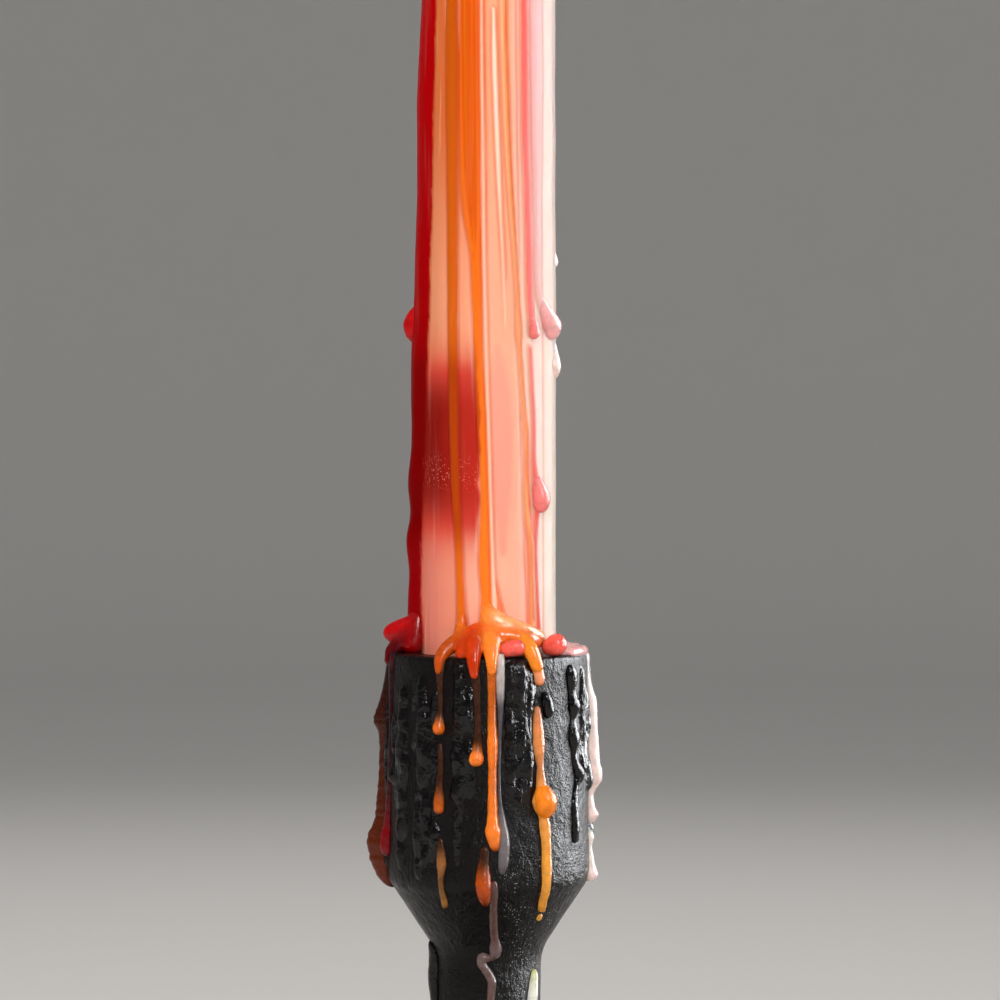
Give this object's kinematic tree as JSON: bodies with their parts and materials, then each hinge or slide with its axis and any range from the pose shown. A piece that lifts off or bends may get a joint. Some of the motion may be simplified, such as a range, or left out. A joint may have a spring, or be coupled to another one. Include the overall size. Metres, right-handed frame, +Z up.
{
  "type": "melted candle",
  "caption": "Partly burned taper candle fused by its own frozen coloured drips into a round-footed black cast-iron candlestick.",
  "frame": {"origin": "centre of the felt pad's underside, where the candlestick stands", "axes": "+Z up along the candle, -Y to the front, +X to the right as seen from the front"},
  "size_m": [0.084, 0.084, 0.2686],
  "materials": {
    "iron": "rough black paint on a sand casting",
    "steel": "plain bright",
    "felt": "pressed felt",
    "wick": "charred braided cotton",
    "candle": "satin wax, marbled",
    "red": "glossy wax",
    "orange": "glossy wax",
    "amber": "glossy wax",
    "coral": "glossy wax",
    "pink": "glossy wax",
    "pale_pink": "glossy wax",
    "cream": "satin wax",
    "mauve": "thin cloudy wax",
    "black": "glossy black wax"
  },
  "bodies": {
    "root": {"cup_and_stem": "iron", "foot": "iron", "foot_screw": "steel", "foot_washer": "steel", "felt_pad": "felt", "candle_body": "candle", "wick": "wick", "red_run": "red", "amber_run": "amber", "orange_run": "orange", "coral_run": "coral", "orange_thread": "orange", "pink_run": "pink", "pink_run_lower": "pink", "pale_pink_run": "pale_pink", "cream_run": "cream", "amber_run_back": "amber", "pink_run_back": "pink", "cream_run_back": "cream", "orange_run_back": "orange", "coral_run_back": "coral", "amber_run_side": "amber", "red_run_cup": "red", "amber_run_cup": "amber", "amber_run_cup_lower": "amber", "amber_trickle": "amber", "brown_run_cup": "mauve", "orange_run_cup": "orange", "grey_run_cup": "mauve", "orange_drop_cup": "orange", "mauve_run_stem": "mauve", "orange_drip_rim": "orange", "orange_run_front": "orange", "yellow_crumb": "amber", "pale_pink_run_cup": "pale_pink", "pale_pink_drop_cup": "pale_pink", "white_run_stem": "cream", "black_run_upper": "black", "black_run_side": "black", "black_run_front_1": "black", "black_run_front_2": "black", "black_run_front_3": "black", "black_run_left_1": "black", "black_run_left_2": "black", "black_run_left_3": "black", "black_run_stem": "black", "pink_run_cup_back": "pink", "orange_run_cup_back": "orange", "orange_pool": "orange", "coral_bead_front": "pink", "coral_bead_side": "pink", "pale_pink_pool": "pale_pink", "pink_pool_back": "pink", "orange_pool_back": "orange"}
  },
  "joints": []
}
